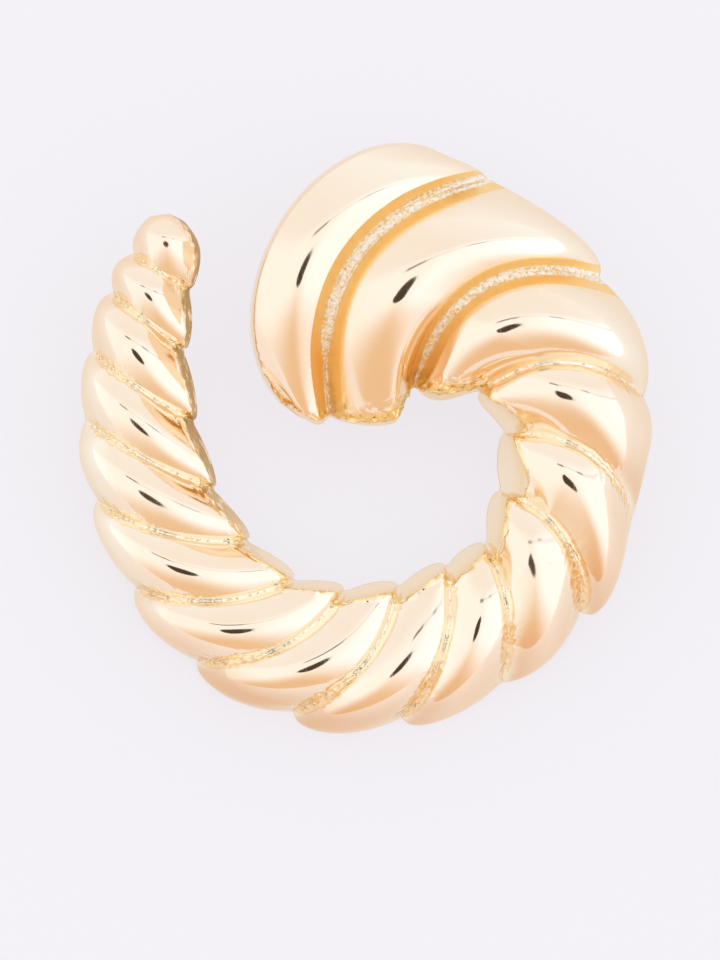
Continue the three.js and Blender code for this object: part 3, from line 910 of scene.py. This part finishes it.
# painted shade: the arm's inner wall dark and matt, where it reflects the far side of the ring
dull = finish.mask("shaded_matt_arm_wall") * finish.step(finish.noise(0.9, 3.0), 0.3, 0.5)
print("nodes for the borders:", len(finish.tree.nodes))

# %% The colours of the gold
POLISHED, PINKER = (0.985, 0.795, 0.59), (0.985, 0.775, 0.57)
# painted light and shade: a paler gold for the bright table reflected, a rosier gold for its shadow
# reflected
PALE_REFLECTION, ROSY_SHADE = (1.0, 0.92, 0.75), (0.86, 0.55, 0.33)
# painted shade: a deep gold for gold reflected in gold in the grooves; the filed gold, also laid as
# painted shade on the plain wall
DEEP_GOLD_SHADE, FILED_AND_SHADE_GOLD = (1.0, 0.72, 0.33), (0.97, 0.71, 0.33)
# painted highlight: a whitish gold for the glitter of the rough groove floors; the unpolished hollow
# back
PAINTED_GLITTER, HOLLOW_BACK = (1.0, 0.93, 0.82), (0.86, 0.68, 0.43)

colour = finish.blend(POLISHED, PINKER, finish.step(finish.noise(4.0), 0.4, 0.7))
# painted reflection: paler where the bright table is reflected
colour = finish.blend(colour, PALE_REFLECTION, finish.mask("painted_pale_light"))
# painted shade: rosier where the table's shadow is reflected
colour = finish.blend(colour, ROSY_SHADE, finish.mask("painted_rosy_shade"))
# painted shade: a deeper gold up the plain wall and on the arm's wall
colour = finish.blend(colour, FILED_AND_SHADE_GOLD, finish.step(plain + dull, 0.1, 0.9))
# painted shade: a touch of deep gold along the crowns' sides by the grooves
colour = finish.blend(colour, DEEP_GOLD_SHADE, side_share * 0.22)
# painted shade: the wide grooves' matt walls deepened, as gold reflected in gold
colour = finish.blend(colour, DEEP_GOLD_SHADE, wall_share)
colour = finish.blend(colour, FILED_AND_SHADE_GOLD, filed_share)
# painted highlight: whitish glitter on the groove floors, flecked with deeper gold
grain = finish.blend(PAINTED_GLITTER, FILED_AND_SHADE_GOLD, finish.step(finish.noise(0.22, 3.0), 0.5, 0.62))
colour = finish.blend(colour, grain, floor_share)
colour = finish.blend(colour, HOLLOW_BACK, back_share)
print("and for the colours:", len(finish.tree.nodes))

# %% The polish of the gold
# painted shade: the dark brown of the arm's inner wall, where it reflects the far side of the ring
ARM_WALL_SHADE, ARM_WALL_SHADE_THIN = (0.32, 0.15, 0.035), (0.6, 0.34, 0.1)

smears = finish.step(finish.noise(3.0, 4.0), 0.35, 0.75)
scratches = finish.step(finish.noise(0.05, 3.0, (1, 0.035, 0.035), 0.65), 0.62, 0.72)
roughness = 0.07 + smears * 0.05 + scratches * 0.06 + wall_share * 0.25 + filed_share * 0.1
roughness = roughness + floor_share * 0.15 + back_share * 0.26 + side_share * 0.14 + plain * 0.1

ripple = finish.noise(2.2, 1.0) * 0.006
grit = (finish.noise(0.18, 3.0) * 0.12) * floor_share + (finish.noise(0.1, 2.0) * 0.012) * side_share
pits = finish.noise(0.16, 3.0) * 0.02 * back_share + finish.noise(0.2, 2.0) * 0.03 * filed_share
height = ripple + grit + pits - scratches * 0.0004
bump = finish.node("Bump", {}, {"Strength": 1.0, "Distance": MM, "Height": height})
bright = finish.node("BsdfPrincipled", {}, {
    "Base Color": colour, "Metallic": 1.0, "Roughness": roughness, "Normal": bump,
    "Specular Tint": (1.0, 0.9, 0.77)})
arm_wall_shade = finish.blend(ARM_WALL_SHADE, ARM_WALL_SHADE_THIN, finish.noise(0.3, 3.0))
matt = finish.node("BsdfPrincipled", {}, {
    "Base Color": arm_wall_shade, "Roughness": 0.6, "Specular IOR Level": 0.1, "Normal": bump})
finish.surface(finish.node("MixShader", {}, {0: dull * 0.8, 1: bright, 2: matt}))
horn.data.materials.clear()
horn.data.materials.append(gold)
print("gold nodes:", len(finish.tree.nodes))

# %% [markdown]
# ## The post's finish
# The post is plated in the same bath but only wiped, never polished, so it is a satin gold with
# fine rings left by turning. A wave texture along the post gives the rings. Solder has flowed out
# round the foot plate, a touch greyer, and the height kept on the mesh says where.

# %% Satin post gold
SATIN, SATIN_DARK, SOLDER_GREY = (0.95, 0.76, 0.50), (0.90, 0.70, 0.44), (0.86, 0.78, 0.64)
SOLDERED = 10.44, 10.52  # mm above the tip, where the solder begins

satin = bpy.data.materials.new("satin_post_gold")
finish = Finish(satin)
solder = finish.step(finish.mask("height") + (finish.noise(0.4) - 0.5) * 0.15, *SOLDERED)
turning = finish.node("TexWave", {"bands_direction": "Z"}, {
    "Vector": finish.place(), "Scale": 1 / (0.3 * MM), "Distortion": 1.5})
colour = finish.blend(SATIN, SATIN_DARK, finish.noise(0.8, 3.0))
colour = finish.blend(colour, SOLDER_GREY, solder)
roughness = 0.24 + finish.noise(0.5, 3.0) * 0.12 + solder * 0.1
height = turning * 0.0006 + finish.noise(0.12, 3.0) * 0.002 + finish.noise(0.3) * 0.03 * solder
bump = finish.node("Bump", {}, {"Strength": 1.0, "Distance": MM, "Height": height})
finish.surface(finish.node("BsdfPrincipled", {}, {
    "Base Color": colour, "Metallic": 1.0, "Roughness": roughness, "Normal": bump}))
post.data.materials.clear()
post.data.materials.append(satin)
print("post nodes:", len(finish.tree.nodes))

# %% [markdown]
# ## The table
# The earring lies on a sheet of white card that is lit from below, as on a jeweller's light box, so
# only a faint shadow is left under it. A plane with a little glow of its own does the same.

# %% The table
TABLE_SIZE = 6
CARD, CARD_PALER = (0.19, 0.172, 0.16), (0.2, 0.182, 0.17)
CARD_GLOW, GLOW_STRENGTH = (0.9, 0.885, 0.94), 0.78

deselect()
bpy.ops.mesh.primitive_plane_add(size=TABLE_SIZE)
table = bpy.context.object
table.name = table.data.name = "white_table"
sheet = bpy.data.materials.new("white_sheet")
finish = Finish(sheet)
fibre = finish.noise(0.6, 4.0)
colour = finish.blend(CARD, CARD_PALER, fibre)
bump = finish.node("Bump", {}, {"Strength": 0.1, "Distance": 0.02 * MM, "Height": fibre})
finish.surface(finish.node("BsdfPrincipled", {}, {
    "Base Color": colour, "Roughness": 0.6, "Specular IOR Level": 0.25, "Normal": bump,
    "Emission Color": CARD_GLOW, "Emission Strength": GLOW_STRENGTH}))
table.data.materials.append(sheet)
print("table nodes:", len(finish.tree.nodes))

# %% [markdown]
# ## The light tent
# Polished metal shows what stands round it, so the light matters as much as the metal. Lamps would
# leave hard spots on it, so it is lit by a white tent all round. The tent is brightest on the right,
# warm and dimmer towards the foot of the face, a little greyer at its head, where a seam and an open
# gap show dark, and has a round hole over the face through which it is looked at. It is written into
# the world's shader as sums on the direction, along the earring's own three axes.

# %% The light tent
TENT, RIGHT_SIDE, HEAD_END = (1.06, 1.16, 1.28), (1.15, 1.27, 1.5), (0.98, 1.02, 1.1)
FOOT_END, SEAM, GAP = (0.88, 0.65, 0.45), (0.5, 0.42, 0.33), (0.1, 0.075, 0.05)
HOLE, BACKDROP = (0.075, 0.055, 0.04), (0.9, 0.89, 0.93)
HOLE_EDGE = 0.9868, 0.9892  # cosine of the angle from the hole's middle

world = bpy.data.worlds.new("light_tent")
bpy.context.scene.world = world
tent = Finish(world)
direction = tent.node("TexCoord", out="Generated")


def towards(axis):
    return tent.node("VectorMath", {"operation": "DOT_PRODUCT"},
                     {0: direction, 1: tuple(axis)}, out="Value")


right, up, out = towards(face_right), towards(face_up), towards(face_out)
light = tent.blend(TENT, RIGHT_SIDE, tent.step(right, 0.1, 0.5))
light = tent.blend(light, HEAD_END, tent.step(up, 0.4, 0.62))
side = tent.node("Math", {"operation": "ABSOLUTE"}, {0: right}) * 0.44 + right * 0.1
light = tent.blend(light, FOOT_END, tent.step(-up - side, -0.1, 0.78))
seam = tent.step(up, 0.39, 0.42) * (1 - tent.step(up, 0.42, 0.45)) * tent.step(right, -0.2, -0.1)
light = tent.blend(light, SEAM, seam * 0.45)
gap = tent.step(up, 0.385, 0.405) * (1 - tent.step(up, 0.43, 0.45))
near_gap = tent.step(right, -0.24, -0.18) * (1 - tent.step(right, 0.02, 0.08))
far_gap = tent.step(right, 0.42, 0.46) * (1 - tent.step(right, 0.56, 0.62)) * 0.6
gap = gap * (near_gap + far_gap)
light = tent.blend(light, GAP, gap)
light = tent.blend(light, HOLE, tent.step(out, *HOLE_EDGE))
seen = tent.node("LightPath", out="Is Camera Ray")
light = tent.blend(light, BACKDROP, seen)
lamp = tent.node("Background", {}, {"Color": light, "Strength": 1.0})
end = tent.tree.nodes.new("ShaderNodeOutputWorld")
tent.tree.links.new(lamp.socket, end.inputs["Surface"])
bpy.context.scene.view_settings.view_transform = "Standard"
print("tent nodes:", len(tent.tree.nodes))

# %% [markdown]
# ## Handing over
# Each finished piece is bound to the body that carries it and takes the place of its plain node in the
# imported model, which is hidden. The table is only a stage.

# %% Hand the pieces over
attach(horn, "root")
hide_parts("horn_shell")
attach(post, "root")
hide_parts("ear_post")
